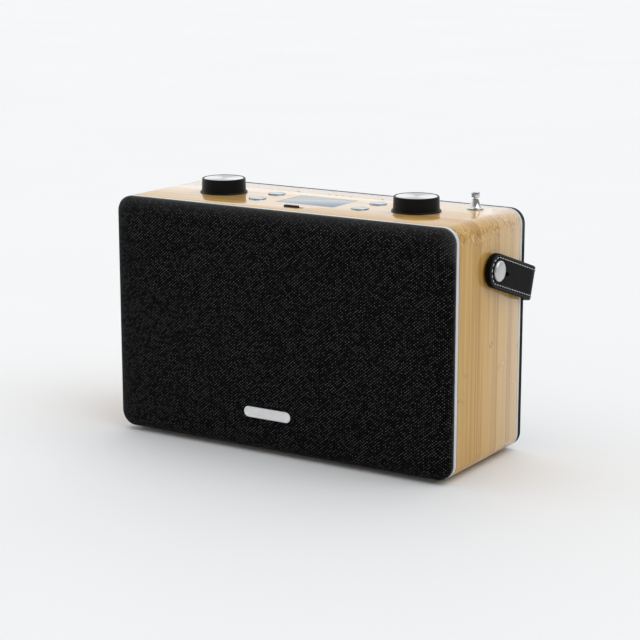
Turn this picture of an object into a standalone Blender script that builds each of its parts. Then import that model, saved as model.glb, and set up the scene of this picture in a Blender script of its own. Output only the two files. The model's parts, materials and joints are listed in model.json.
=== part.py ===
"""Portable radio with a bent-bamboo case, a black fabric front and a leather carrying strap.

Metres, +Z up, +X to the listener's right, +Y to the back. The origin is at the middle of the
radio's footprint, on the surface that its feet stand on.
"""

import math

import bmesh
import bpy
from mathutils import Matrix, Vector

# ---------------------------------------------------------------- driving dimensions
GAP = 0.0003

CASE_WIDTH = 0.285
CASE_HEIGHT = 0.1765
CASE_RADIUS = 0.011
WOOD_DEPTH = 0.090
WOOD_WALL = 0.009
FOOT_HEIGHT = 0.0025

FRONT_TRIM_DEPTH = 0.0040
REAR_TRIM_DEPTH = 0.0033
TRIM_WIDTH = 0.0100
GRILLE_DEPTH = 0.0095
GRILLE_ROLL = 0.0140
GRILLE_DROP = 0.0070
CLOTH_WALL = 0.0012
REAR_COVER_DEPTH = 0.0050

KNOB_X = 0.083
KNOB_RADIUS = 0.0166
KNOB_HEIGHT = 0.0110
CONTROL_Y = WOOD_DEPTH / 2
BUTTON_X = 0.044
BUTTON_RADIUS = 0.0063
BUTTON_ROWS = {"front": 0.0325, "rear": 0.0580}
DISPLAY_WIDTH = 0.0494
DISPLAY_DEPTH = 0.0348
SWITCH_X = -0.0015
SWITCH_Y = 0.0132
AERIAL_X = 0.1135
AERIAL_Y = 0.0760

STRAP_PIVOT_Y = WOOD_DEPTH / 2
STRAP_PIVOT_Z = 0.1403
STRAP_ANGLE = math.radians(-18.0)
STRAP_WIDTH = 0.0245
STRAP_THICKNESS = 0.0045
STRAP_REACH = 0.07074
STRAP_BEND = 0.0170
STUD_RADIUS = 0.0073
STUD_HEAD = 0.0022
WASHER = 0.0010

SPEAKER_X = 0.075
SPEAKER_Z = 0.088
SPEAKER_RADIUS = 0.038

# ---------------------------------------------------------------- places worked out from them
BADGE_STANDS = 0.0012
FRONT_REACH = FRONT_TRIM_DEPTH + GRILLE_DEPTH + BADGE_STANDS
REAR_REACH = (
    STRAP_PIVOT_Y
    + STRAP_REACH * math.cos(STRAP_ANGLE)
    - STRAP_WIDTH / 2 * math.sin(STRAP_ANGLE)
)
WOOD_FRONT = (FRONT_REACH - REAR_REACH) / 2
WOOD_BACK = WOOD_FRONT + WOOD_DEPTH
TRIM_FRONT = WOOD_FRONT - FRONT_TRIM_DEPTH
GRILLE_FRONT = TRIM_FRONT - GRILLE_DEPTH
TRIM_BACK = WOOD_BACK + REAR_TRIM_DEPTH
COVER_BACK = TRIM_BACK + REAR_COVER_DEPTH
BASE = FOOT_HEIGHT
TOP = FOOT_HEIGHT + CASE_HEIGHT
CENTRE_Z = FOOT_HEIGHT + CASE_HEIGHT / 2
SIDE = CASE_WIDTH / 2
CEILING = TOP - WOOD_WALL
BOARD_TOP = TOP - 0.0153
PIVOT = Vector((0, WOOD_FRONT + STRAP_PIVOT_Y, FOOT_HEIGHT + STRAP_PIVOT_Z))
SIDES = {"left": -1, "right": 1}

for old in list(bpy.data.objects):
    bpy.data.objects.remove(old, do_unlink=True)


# ---------------------------------------------------------------- materials and shapes
def finish(name, colour, roughness, metallic=0.0):
    material = bpy.data.materials.new(name)
    material.use_nodes = True
    shader = material.node_tree.nodes["Principled BSDF"]
    shader.inputs["Base Color"].default_value = (*colour, 1)
    shader.inputs["Roughness"].default_value = roughness
    shader.inputs["Metallic"].default_value = metallic
    material.diffuse_color = (*colour, 1)
    return material


def show(name, bm, material, at=(0, 0, 0)):
    """Makes the object of this mesh, whose points are relative to its origin, at."""
    bmesh.ops.remove_doubles(bm, verts=bm.verts[:], dist=1e-6)
    bmesh.ops.recalc_face_normals(bm, faces=bm.faces[:])
    mesh = bpy.data.meshes.new(name)
    bm.to_mesh(mesh)
    bm.free()
    mesh.shade_smooth()
    mesh.set_sharp_from_angle(angle=math.radians(35))
    thing = bpy.data.objects.new(name, mesh)
    thing.location = at
    if material:
        mesh.materials.append(material)
    bpy.context.scene.collection.objects.link(thing)
    return thing


def cutter(bm, at=(0, 0, 0)):
    thing = show("cutter", bm, None, at)
    thing.hide_render = True
    thing.display_type = "WIRE"
    return thing


def combine(thing, other, operation="DIFFERENCE"):
    modifier = thing.modifiers.new(operation.title(), "BOOLEAN")
    modifier.operation = operation
    modifier.object = other
    modifier.solver = "EXACT"


def box_mesh(low, high):
    bm = bmesh.new()
    size = Vector(high) - Vector(low)
    place = Matrix.Translation((Vector(high) + Vector(low)) / 2) @ Matrix.Diagonal((*size, 1))
    bmesh.ops.create_cube(bm, size=1, matrix=place)
    return bm


def rod_mesh(radius, low, high, axis="Z", centre=(0, 0, 0), steps=16):
    """A solid cylinder from low to high along an axis through centre."""
    bm = bmesh.new()
    bmesh.ops.create_cone(
        bm,
        cap_ends=True,
        segments=steps,
        radius1=radius,
        radius2=radius,
        depth=high - low,
        matrix=Matrix.Translation((0, 0, (high + low) / 2)),
    )
    turn_mesh(bm, axis)
    bmesh.ops.translate(bm, verts=bm.verts[:], vec=centre)
    return bm


def turn_mesh(bm, axis):
    """Turns a mesh made along +Z so that it runs along the given axis instead."""
    turns = {
        "Z": Matrix.Identity(3),
        "Y": Matrix.Rotation(math.radians(-90), 3, "X"),
        "X": Matrix.Rotation(math.radians(90), 3, "Y"),
        "-X": Matrix.Rotation(math.radians(-90), 3, "Y"),
        "-Y": Matrix.Rotation(math.radians(90), 3, "X"),
    }
    bmesh.ops.rotate(bm, verts=bm.verts[:], cent=(0, 0, 0), matrix=turns[axis])


def turned_mesh(profile, axis="Z", steps=32, closed=False):
    """Spins a profile of (radius, height) points. An open one starts and ends on the axis."""
    bm = bmesh.new()
    verts = [bm.verts.new((radius, 0, height)) for radius, height in profile]
    pairs = list(zip(verts, verts[1:]))
    if closed:
        pairs.append((verts[-1], verts[0]))
    edges = [bm.edges.new(pair) for pair in pairs]
    bmesh.ops.spin(
        bm,
        geom=verts + edges,
        cent=(0, 0, 0),
        axis=(0, 0, 1),
        dvec=(0, 0, 0),
        angle=math.tau,
        steps=steps,
        use_merge=True,
        use_duplicate=False,
    )
    turn_mesh(bm, axis)
    return bm


def rounded_outline(width, height, radius, steps=5, middle=(0, 0)):
    """The points (across, up) of a rectangle with round corners."""
    points = []
    for quarter, (side, rise) in enumerate(((1, 1), (-1, 1), (-1, -1), (1, -1))):
        for step in range(steps + 1):
            angle = math.radians(90 * (quarter + step / steps))
            across = side * (width / 2 - radius) + radius * math.cos(angle)
            up = rise * (height / 2 - radius) + radius * math.sin(angle)
            points.append((middle[0] + across, middle[1] + up))
    return points


def outline_face(bm, points, depth):
    return bm.faces.new([bm.verts.new((x, depth, z)) for x, z in points])


def extrude(bm, faces, vector):
    made = bmesh.ops.extrude_face_region(bm, geom=faces)["geom"]
    verts = [item for item in made if isinstance(item, bmesh.types.BMVert)]
    bmesh.ops.translate(bm, verts=verts, vec=vector)


def slab_mesh(points, low, high):
    """An outline in X and Z, extruded from low to high along Y."""
    bm = bmesh.new()
    face = outline_face(bm, points, low)
    extrude(bm, [face], (0, high - low, 0))
    return bm


def frame_mesh(outer, inner, low, high):
    """A ring between two outlines with the same number of points, from low to high along Y."""
    bm = bmesh.new()
    rims = []
    for points in (outer, inner):
        verts = [bm.verts.new((x, low, z)) for x, z in points]
        rims += [bm.edges.new(pair) for pair in zip(verts, verts[1:] + verts[:1])]
    faces = bmesh.ops.bridge_loops(bm, edges=rims)["faces"]
    extrude(bm, faces, (0, high - low, 0))
    return bm


def case_outline(inset=0.0, steps=5):
    radius = max(CASE_RADIUS - inset, 0.004)
    width = CASE_WIDTH - 2 * inset
    height = CASE_HEIGHT - 2 * inset
    return rounded_outline(width, height, radius, steps, (0, CENTRE_Z))


def top_spot(x, y):
    """A place on the case's top, with y counted from the wood's front edge."""
    return Vector((x, WOOD_FRONT + y, TOP))


# ---------------------------------------------------------------- finishes
bamboo = finish("bamboo", (0.55, 0.36, 0.18), 0.35)
trim_white = finish("trim_white", (0.62, 0.62, 0.62), 0.4)
black_cloth = finish("black_cloth", (0.012, 0.012, 0.013), 0.9)
black_plastic = finish("black_plastic", (0.02, 0.02, 0.02), 0.45)
knob_black = finish("knob_black", (0.012, 0.012, 0.012), 0.4)
spun_aluminium = finish("spun_aluminium", (0.8, 0.8, 0.8), 0.25, 1.0)
chrome = finish("chrome", (0.75, 0.75, 0.75), 0.08, 1.0)
button_silver = finish("button_silver", (0.72, 0.76, 0.8), 0.3, 1.0)
display_glass = finish("display_glass", (0.5, 0.56, 0.6), 0.15)
leather = finish("leather", (0.02, 0.02, 0.021), 0.5)
badge_silver = finish("badge_silver", (0.8, 0.8, 0.8), 0.3, 1.0)
board_green = finish("board_green", (0.02, 0.12, 0.05), 0.5)
steel = finish("steel", (0.45, 0.45, 0.46), 0.35, 1.0)
paper = finish("paper", (0.03, 0.03, 0.03), 0.8)
ferrite = finish("ferrite", (0.06, 0.06, 0.065), 0.6)
rubber = finish("rubber", (0.015, 0.015, 0.015), 0.8)
cell_wrap = finish("cell_wrap", (0.05, 0.14, 0.3), 0.4)

# ---------------------------------------------------------------- the bent bamboo case
KNOB_HOLE = 0.0045
BUTTON_HOLE = BUTTON_RADIUS + 1.4 * GAP
SWITCH_LENGTH = 0.0113
SWITCH_TRAVEL = 0.0040
SWITCH_WIDTH = 0.0030
SWITCH_STANDS = 0.0014
SLOT_EDGE = 0.0004
BUSH_HOLE = 0.0036
STUD_SHANK = 0.0020
STUD_HOLE = 0.0024
STUD_DEPTH = 0.0070
DRILL = 0.0020

case = show(
    "cabinet_sleeve",
    frame_mesh(case_outline(), case_outline(WOOD_WALL), WOOD_FRONT, WOOD_BACK),
    bamboo,
)

drill_low = CEILING - DRILL - TOP
for side in SIDES.values():
    spot = top_spot(side * KNOB_X, CONTROL_Y)
    combine(case, cutter(rod_mesh(KNOB_HOLE, drill_low, DRILL), spot))
    for row in BUTTON_ROWS.values():
        spot = top_spot(side * BUTTON_X, row)
        combine(case, cutter(rod_mesh(BUTTON_HOLE, drill_low, DRILL), spot))
    hole = rod_mesh(STUD_HOLE, SIDE - STUD_DEPTH, SIDE + DRILL, "X" if side > 0 else "-X")
    combine(case, cutter(hole, PIVOT))

glass = Vector((DISPLAY_WIDTH / 2, DISPLAY_DEPTH / 2, 0))
glass_edge = Vector((GAP, GAP, 0))
window_hole = box_mesh(
    -glass - glass_edge + Vector((0, 0, drill_low)),
    glass + glass_edge + Vector((0, 0, DRILL)),
)
combine(case, cutter(window_hole, top_spot(0, CONTROL_Y)))
slot_hole = box_mesh(
    (-SWITCH_LENGTH / 2 - SLOT_EDGE, -SWITCH_WIDTH / 2 - SLOT_EDGE, drill_low),
    (SWITCH_LENGTH / 2 + SWITCH_TRAVEL + SLOT_EDGE, SWITCH_WIDTH / 2 + SLOT_EDGE, DRILL),
)
combine(case, cutter(slot_hole, top_spot(SWITCH_X, SWITCH_Y)))
combine(case, cutter(rod_mesh(BUSH_HOLE, drill_low, DRILL), top_spot(AERIAL_X, AERIAL_Y)))


# ---------------------------------------------------------------- trims, grille and baffle
front_trim = frame_mesh(case_outline(), case_outline(TRIM_WIDTH), TRIM_FRONT, WOOD_FRONT - GAP)
show("front_trim", front_trim, trim_white)
rear_trim = frame_mesh(case_outline(), case_outline(TRIM_WIDTH), WOOD_BACK + GAP, TRIM_BACK)
rear_trim = show("rear_trim", rear_trim, trim_white)


def rolled_rings(roll, drop, low, high, inset, steps=4):
    """(inset, depth) pairs up a straight edge and round a quarter ellipse to the face at high.

    The ellipse reaches roll inwards and drop back from the face.
    """
    rings = [(inset, low)]
    turn = high + math.copysign(drop, low - high)
    for step in range(steps + 1):
        angle = math.radians(90 * step / steps)
        rings.append((inset + roll * (1 - math.cos(angle)), turn + (high - turn) * math.sin(angle)))
    return rings


def ringed_mesh(rings):
    """Joins the case's outline at each (inset, depth), and closes the first and the last."""
    bm = bmesh.new()
    loops = []
    for inset, depth in rings:
        verts = [bm.verts.new((x, depth, z)) for x, z in case_outline(inset)]
        loops.append([bm.edges.new(pair) for pair in zip(verts, verts[1:] + verts[:1])])
    for first, second in zip(loops, loops[1:]):
        bmesh.ops.bridge_loops(bm, edges=first + second)
    bmesh.ops.contextual_create(bm, geom=loops[0])
    bmesh.ops.contextual_create(bm, geom=loops[-1])
    return bm


EDGE_INSET = 0.0002
CLOTH_BACK = TRIM_FRONT - GAP
LINING_INSET = EDGE_INSET + CLOTH_WALL
LINING_FRONT = GRILLE_FRONT + CLOTH_WALL
skin = rolled_rings(GRILLE_ROLL, GRILLE_DROP, CLOTH_BACK, GRILLE_FRONT, EDGE_INSET)
LINING_ROLL = GRILLE_ROLL - CLOTH_WALL
LINING_DROP = GRILLE_DROP - CLOTH_WALL
hollow = rolled_rings(
    LINING_ROLL, LINING_DROP, CLOTH_BACK + DRILL, LINING_FRONT, LINING_INSET
)
cloth = show("grille_cloth", ringed_mesh(skin), black_cloth)
combine(cloth, cutter(ringed_mesh(hollow)))

WINDOW_WIDTH = 0.100
WINDOW_HEIGHT = 0.130
WINDOW_CORNER = 0.010
WINDOW_X = 0.062
frame_rings = rolled_rings(
    LINING_ROLL - GAP, LINING_DROP - GAP, CLOTH_BACK, LINING_FRONT + GAP, LINING_INSET + GAP
)
grille_frame = show("grille_frame", ringed_mesh(frame_rings), black_plastic)
for side in SIDES.values():
    middle = (side * WINDOW_X, CENTRE_Z)
    window_face = rounded_outline(WINDOW_WIDTH, WINDOW_HEIGHT, WINDOW_CORNER, 3, middle)
    combine(grille_frame, cutter(slab_mesh(window_face, GRILLE_FRONT, TRIM_FRONT + DRILL)))

BADGE_WIDTH = 0.040
BADGE_HEIGHT = 0.008
BADGE_CORNER = 0.0039
BADGE_MIDDLE = (-0.005, BASE + 0.0288)
badge_face = rounded_outline(BADGE_WIDTH, BADGE_HEIGHT, BADGE_CORNER, 5, BADGE_MIDDLE)
show(
    "badge",
    slab_mesh(badge_face, GRILLE_FRONT - BADGE_STANDS, GRILLE_FRONT - GAP),
    badge_silver,
)

BAFFLE_DEPTH = 0.0085
baffle_face = case_outline(WOOD_WALL + GAP)
baffle = show(
    "front_baffle", slab_mesh(baffle_face, WOOD_FRONT + GAP, WOOD_FRONT + BAFFLE_DEPTH), black_plastic
)

# ---------------------------------------------------------------- speakers
SPEAKER_HOLE = 0.0352
FLANGE = 0.0015
COIL = 0.0084
BASKET_DEPTH = 0.0240
MAGNET_RADIUS = 0.0210
MAGNET_DEPTH = 0.0120
basket_profile = [
    (0.0326, 0),
    (SPEAKER_RADIUS, 0),
    (SPEAKER_RADIUS, FLANGE),
    (0.0340, FLANGE),
    (0.0190, 0.0220),
    (0.0190, BASKET_DEPTH),
    (COIL + 0.0006, BASKET_DEPTH),
    (COIL + 0.0006, 0.0225),
    (0.0178, 0.0225),
    (0.0178, 0.0217),
    (0.0326, FLANGE),
]
cone_profile = [
    (0, 0.0055),
    (0.0050, 0.0065),
    (0.0095, 0.0095),
    (0.0270, 0.0022),
    (0.0283, 0.0010),
    (0.0300, 0.0008),
    (0.0312, 0.0018),
    (0.0312, 0.0026),
    (0.0280, 0.0032),
    (0.0110, 0.0112),
    (COIL, 0.0130),
    (COIL, 0.0215),
    (0, 0.0215),
]
for name, side in SIDES.items():
    spot = (side * SPEAKER_X, WOOD_FRONT - FLANGE, BASE + SPEAKER_Z)
    hole = rod_mesh(SPEAKER_HOLE, 0, BAFFLE_DEPTH + 2 * DRILL, "Y", steps=20)
    combine(baffle, cutter(hole, spot))
    show(f"speaker_basket_{name}", turned_mesh(basket_profile, "Y", 20, True), steel, spot)
    show(f"speaker_cone_{name}", turned_mesh(cone_profile, "Y", 20), paper, spot)
    magnet_low = BASKET_DEPTH + GAP
    magnet = rod_mesh(MAGNET_RADIUS, magnet_low, magnet_low + MAGNET_DEPTH, "Y", steps=20)
    show(f"speaker_magnet_{name}", magnet, ferrite, spot)

# ---------------------------------------------------------------- rear cover, battery, sockets
COVER_EDGE = 0.0012
DOOR_WIDTH = 0.110
DOOR_HEIGHT = 0.050
DOOR_Z = BASE + 0.042
DOOR_WALL = 0.0025
DOOR_LEDGE = 0.003
PANEL_WIDTH = 0.090
PANEL_HEIGHT = 0.022
PANEL_Z = BASE + 0.086
SCREW_X = SIDE - 0.0058
SCREW_HEIGHTS = {"lower": BASE + 0.030, "upper": BASE + 0.150}
SCREW_HEAD = 0.0022
SCREW_SHANK = 0.0012
SCREW_LENGTH = 0.0140


def pane(width, height, middle_z, low, high):
    """A flat box facing the back, from low to high along Y."""
    return box_mesh((-width / 2, low, middle_z - height / 2), (width / 2, high, middle_z + height / 2))


cover_rings = rolled_rings(COVER_EDGE, COVER_EDGE, TRIM_BACK + GAP, COVER_BACK, EDGE_INSET, 3)
cover = show("rear_cover", ringed_mesh(cover_rings), black_cloth)
cover_through = (TRIM_BACK - DRILL, COVER_BACK + DRILL)
combine(cover, cutter(pane(PANEL_WIDTH, PANEL_HEIGHT, PANEL_Z, *cover_through)))
ledge = 2 * DOOR_LEDGE
combine(cover, cutter(pane(DOOR_WIDTH - ledge, DOOR_HEIGHT - ledge, DOOR_Z, *cover_through)))
recess = COVER_BACK - DOOR_WALL - GAP
combine(cover, cutter(pane(DOOR_WIDTH, DOOR_HEIGHT, DOOR_Z, recess, COVER_BACK + DRILL)))

BAY_WALL = 0.0015
BAY_DEPTH = 0.038
BAY_MARGIN = 0.003
bay_back = TRIM_BACK
bay_front = bay_back - BAY_DEPTH
bay = show(
    "battery_bay",
    pane(DOOR_WIDTH + BAY_MARGIN, DOOR_HEIGHT + BAY_MARGIN, DOOR_Z, bay_front, bay_back),
    black_plastic,
)
bay_width = DOOR_WIDTH + BAY_MARGIN - 2 * BAY_WALL
bay_height = DOOR_HEIGHT + BAY_MARGIN - 2 * BAY_WALL
bay_hollow = pane(bay_width, bay_height, DOOR_Z, bay_front + BAY_WALL, bay_back + DRILL)
combine(bay, cutter(bay_hollow))
pack = pane(
    bay_width - 2 * BAY_WALL,
    bay_height - 2 * GAP,
    DOOR_Z,
    bay_front + BAY_WALL + GAP,
    bay_back - BAY_WALL,
)
bmesh.ops.bevel(
    pack, geom=pack.edges[:], offset=0.002, segments=2, profile=0.5, affect="EDGES", material=-1
)
show("battery_pack", pack, cell_wrap)

door_height = DOOR_HEIGHT - 2 * GAP
door = box_mesh(
    (GAP - DOOR_WIDTH / 2, -DOOR_WALL, 0),
    (DOOR_WIDTH / 2 - GAP, 0, door_height),
)
door = show(
    "battery_door", door, black_plastic, (0, COVER_BACK, DOOR_Z - door_height / 2)
)
NOTCH_RADIUS = 0.012
NOTCH_DEPTH = 0.0012
NOTCH_RISE = 0.004
notch_middle = (0, 0, door_height + NOTCH_RISE)
finger_notch = rod_mesh(NOTCH_RADIUS, -NOTCH_DEPTH, DRILL, "Y", notch_middle)
combine(door, cutter(finger_notch, door.location))

PANEL_RECESS = 0.0015
PANEL_WALL = 0.0025
panel_face = COVER_BACK - PANEL_RECESS
panel = show(
    "connector_panel",
    pane(PANEL_WIDTH - 2 * GAP, PANEL_HEIGHT - 2 * GAP, PANEL_Z, panel_face - PANEL_WALL, panel_face),
    black_plastic,
)


def socket_spot(x):
    return Vector((x, panel_face, PANEL_Z))


INLET_RADIUS = 0.0044
PHONES_RADIUS = 0.0034
USB_WIDTH = 0.0145
USB_HEIGHT = 0.0075
USB_WALL = 0.00105
SOCKET_X = 0.032
SOCKET_DEPTH = 0.0110
PANEL_DRILL = 0.0050
inlet_profile = [
    (0, -0.0010),
    (0.0009, -0.0014),
    (0.0009, -0.0090),
    (0.0029, -0.0090),
    (0.0029, 0),
    (INLET_RADIUS, 0),
    (INLET_RADIUS, -SOCKET_DEPTH),
    (0, -SOCKET_DEPTH),
]
phones_profile = [
    (0, -0.0100),
    (0.0018, -0.0100),
    (0.0018, 0),
    (PHONES_RADIUS, 0),
    (PHONES_RADIUS, -SOCKET_DEPTH),
    (0, -SOCKET_DEPTH),
]
for name, profile, x in (
    ("dc_inlet", inlet_profile, -SOCKET_X),
    ("headphone_socket", phones_profile, SOCKET_X),
):
    radius = max(point[0] for point in profile)
    combine(panel, cutter(rod_mesh(radius + GAP, -PANEL_DRILL, DRILL, "Y"), socket_spot(x)))
    show(name, turned_mesh(profile, "Y", 16), black_plastic, socket_spot(x))

usb_half = Vector((USB_WIDTH / 2, 0, USB_HEIGHT / 2))
usb_edge = Vector((GAP, 0, GAP))
usb_hole = box_mesh(
    -usb_half - usb_edge - Vector((0, PANEL_DRILL, 0)),
    usb_half + usb_edge + Vector((0, DRILL, 0)),
)
combine(panel, cutter(usb_hole, socket_spot(0)))
usb = show(
    "usb_socket",
    box_mesh(-usb_half - Vector((0, SOCKET_DEPTH, 0)), usb_half),
    steel,
    socket_spot(0),
)
USB_TONGUE = 0.0011
MOUTH_DEPTH = 0.0095
mouth_half = USB_WIDTH / 2 - USB_WALL
mouth_top = USB_HEIGHT / 2 - USB_WALL
for sign in SIDES.values():
    mouth = box_mesh((-mouth_half, -MOUTH_DEPTH, USB_TONGUE), (mouth_half, DRILL, mouth_top))
    bmesh.ops.scale(mouth, verts=mouth.verts[:], vec=(1, 1, sign))
    combine(usb, cutter(mouth, socket_spot(0)))

CROSS = 0.0014
CROSS_WIDTH = 0.0005
CROSS_DEPTH = 0.0008
screw_profile = [
    (0, -0.0016 - SCREW_LENGTH),
    (SCREW_SHANK, -0.0010 - SCREW_LENGTH),
    (SCREW_SHANK, -0.0016),
    (SCREW_HEAD, -0.0014),
    (SCREW_HEAD, -0.0004),
    (SCREW_HEAD - 0.0004, 0),
    (0, 0),
]
hole_profile = [
    (0, -0.0024 - SCREW_LENGTH),
    (SCREW_SHANK + 0.0004, -0.0024 - SCREW_LENGTH),
    (SCREW_SHANK + 0.0004, -0.0020),
    (SCREW_HEAD + GAP, -0.0020),
    (SCREW_HEAD + GAP, DRILL),
    (0, DRILL),
]
for height_name, height in SCREW_HEIGHTS.items():
    for name, side in SIDES.items():
        spot = (side * SCREW_X, COVER_BACK - GAP, height)
        bore = cutter(turned_mesh(hole_profile, "Y", 12), spot)
        for drilled in (cover, rear_trim, case):
            combine(drilled, bore)
        screw = show(
            f"rear_screw_{height_name}_{name}", turned_mesh(screw_profile, "Y", 12), steel, spot
        )
        for across, up in ((CROSS, CROSS_WIDTH), (CROSS_WIDTH, CROSS)):
            groove = box_mesh((-across, -CROSS_DEPTH, -up), (across, DRILL, up))
            combine(screw, cutter(groove, spot))

# ---------------------------------------------------------------- circuit boards
BOARD_WALL = 0.0016
BOARD_WIDTH = 0.200
BOARD_FRONT = WOOD_FRONT + 0.0098
BOARD_BACK = WOOD_FRONT + 0.070
SWITCH_BLOCK = 0.0032
SWITCH_RISE = 0.0039
SLIDER_FOOT = 0.0096
board = show(
    "control_board",
    box_mesh(
        (-BOARD_WIDTH / 2, BOARD_FRONT, BOARD_TOP - BOARD_WALL),
        (BOARD_WIDTH / 2, BOARD_BACK, BOARD_TOP),
    ),
    board_green,
)
SINK = -0.0005
for side in SIDES.values():
    for row in BUTTON_ROWS.values():
        block = box_mesh((-SWITCH_BLOCK, -SWITCH_BLOCK, SINK), (SWITCH_BLOCK, SWITCH_BLOCK, SWITCH_RISE))
        spot = (side * BUTTON_X, WOOD_FRONT + row, BOARD_TOP)
        combine(board, cutter(block, spot), "UNION")
switch_rise = TOP - SLIDER_FOOT - BOARD_TOP
block = box_mesh((-0.0085, -SWITCH_BLOCK, SINK), (0.0125, SWITCH_BLOCK, switch_rise))
combine(board, cutter(block, (SWITCH_X, WOOD_FRONT + SWITCH_Y, BOARD_TOP)), "UNION")

BOARD_LIFT = 0.004
BLOCK_RISE = 0.005
main_spot = Vector((0, WOOD_FRONT, BASE + WOOD_WALL + BOARD_LIFT))
main_board = show(
    "main_board",
    box_mesh((-0.050, 0.012, 0), (0.040, 0.052, BOARD_WALL)),
    board_green,
    main_spot,
)
for (left, front), (right, back) in (
    ((-0.046, 0.016), (-0.026, 0.034)),
    ((-0.018, 0.018), (-0.004, 0.032)),
    ((0.010, 0.030), (0.034, 0.048)),
):
    low = (left, front, BOARD_WALL + SINK)
    high = (right, back, BOARD_WALL + BLOCK_RISE)
    combine(main_board, cutter(box_mesh(low, high), main_spot), "UNION")

# ---------------------------------------------------------------- display
GLASS = 0.0020
show(
    "display_window",
    box_mesh(-glass - Vector((0, 0, GLASS)), glass),
    display_glass,
    top_spot(0, CONTROL_Y),
)
show(
    "display_module",
    box_mesh(-glass + Vector((0, 0, BOARD_TOP + GAP - TOP)), glass - Vector((0, 0, GLASS + GAP))),
    black_plastic,
    top_spot(0, CONTROL_Y),
)

# ---------------------------------------------------------------- power slider
slider = box_mesh(
    (-SWITCH_LENGTH / 2, -SWITCH_WIDTH / 2, GAP - SLIDER_FOOT),
    (SWITCH_LENGTH / 2, SWITCH_WIDTH / 2, SWITCH_STANDS),
)
upper = [edge for edge in slider.edges if min(vert.co.z for vert in edge.verts) > 0]
bmesh.ops.bevel(
    slider, geom=upper, offset=0.0004, segments=2, profile=0.5, affect="EDGES", material=-1
)
show("power_slider", slider, black_plastic, top_spot(SWITCH_X, SWITCH_Y))

# ---------------------------------------------------------------- push buttons
BUTTON_TOP = 0.0009
BUTTON_FLANGE = 0.0076
button_profile = [
    (0, -0.0104),
    (BUTTON_FLANGE, -0.0104),
    (BUTTON_FLANGE, -0.0094),
    (BUTTON_RADIUS, -0.0094),
    (BUTTON_RADIUS, BUTTON_TOP - 0.0005),
    (BUTTON_RADIUS - 0.0003, BUTTON_TOP - 0.0001),
    (0, BUTTON_TOP),
]
for row_name, row in BUTTON_ROWS.items():
    for name, side in SIDES.items():
        show(
            f"button_{row_name}_{name}",
            turned_mesh(button_profile, steps=20),
            button_silver,
            top_spot(side * BUTTON_X, row),
        )

# ---------------------------------------------------------------- push-and-turn knobs
SHAFT = 0.0030
SHAFT_BORE = SHAFT + GAP
ENCODER_HALF = 0.0070
ENCODER_TOP = -0.0100
BUSH_RADIUS = 0.0040
BUSH_TOP = -0.0012
BORE_FLOOR = -0.0144
STEM_LOW = -0.0132
STEM_HIGH = -0.0120
SHAFT_HIGH = 0.0080
SKIRT = 0.0012
LIP = 0.0153
COLLAR_INNER = KNOB_RADIUS + 0.0004
COLLAR_OUTER = 0.0178
knob_profile = [
    (0.0146, SKIRT),
    (KNOB_RADIUS, SKIRT),
    (KNOB_RADIUS - 0.0002, KNOB_HEIGHT - 0.0008),
    (KNOB_RADIUS - 0.0006, KNOB_HEIGHT - 0.0002),
    (KNOB_RADIUS - 0.0010, KNOB_HEIGHT),
    (LIP, KNOB_HEIGHT - 0.0002),
    (LIP, KNOB_HEIGHT - 0.0016),
    (SHAFT_BORE, KNOB_HEIGHT - 0.0016),
    (SHAFT_BORE, SKIRT),
    (0.0052, SKIRT),
    (0.0052, KNOB_HEIGHT - 0.0028),
    (0.0146, KNOB_HEIGHT - 0.0028),
]
cap_profile = [
    (0, KNOB_HEIGHT - 0.0013),
    (LIP - GAP, KNOB_HEIGHT - 0.0013),
    (LIP - GAP, KNOB_HEIGHT - 0.0006),
    (LIP - GAP - 0.0003, KNOB_HEIGHT - 0.0003),
    (0, KNOB_HEIGHT - 0.0004),
]
collar_profile = [
    (COLLAR_INNER, GAP),
    (COLLAR_OUTER, GAP),
    (COLLAR_OUTER - 0.0001, 0.0010),
    (COLLAR_OUTER - 0.0004, 0.0013),
    (COLLAR_INNER, 0.0013),
]
for name, side in SIDES.items():
    spot = top_spot(side * KNOB_X, CONTROL_Y)
    encoder = box_mesh(
        (-ENCODER_HALF, -ENCODER_HALF, BOARD_TOP + GAP - TOP),
        (ENCODER_HALF, ENCODER_HALF, ENCODER_TOP),
    )
    encoder = show(f"encoder_body_{name}", encoder, steel, spot)
    bush = rod_mesh(BUSH_RADIUS, ENCODER_TOP - 0.001, BUSH_TOP)
    combine(encoder, cutter(bush, spot), "UNION")
    combine(encoder, cutter(rod_mesh(SHAFT_BORE, BORE_FLOOR, DRILL), spot))
    show(f"encoder_stem_{name}", rod_mesh(SHAFT, STEM_LOW, STEM_HIGH), black_plastic, spot)
    show(f"encoder_shaft_{name}", rod_mesh(SHAFT, STEM_HIGH + GAP, SHAFT_HIGH), steel, spot)
    show(f"knob_collar_{name}", turned_mesh(collar_profile, steps=28, closed=True), rubber, spot)
    show(f"knob_{name}", turned_mesh(knob_profile, steps=28, closed=True), knob_black, spot)
    show(f"knob_cap_{name}", turned_mesh(cap_profile, steps=28), spun_aluminium, spot)

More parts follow.
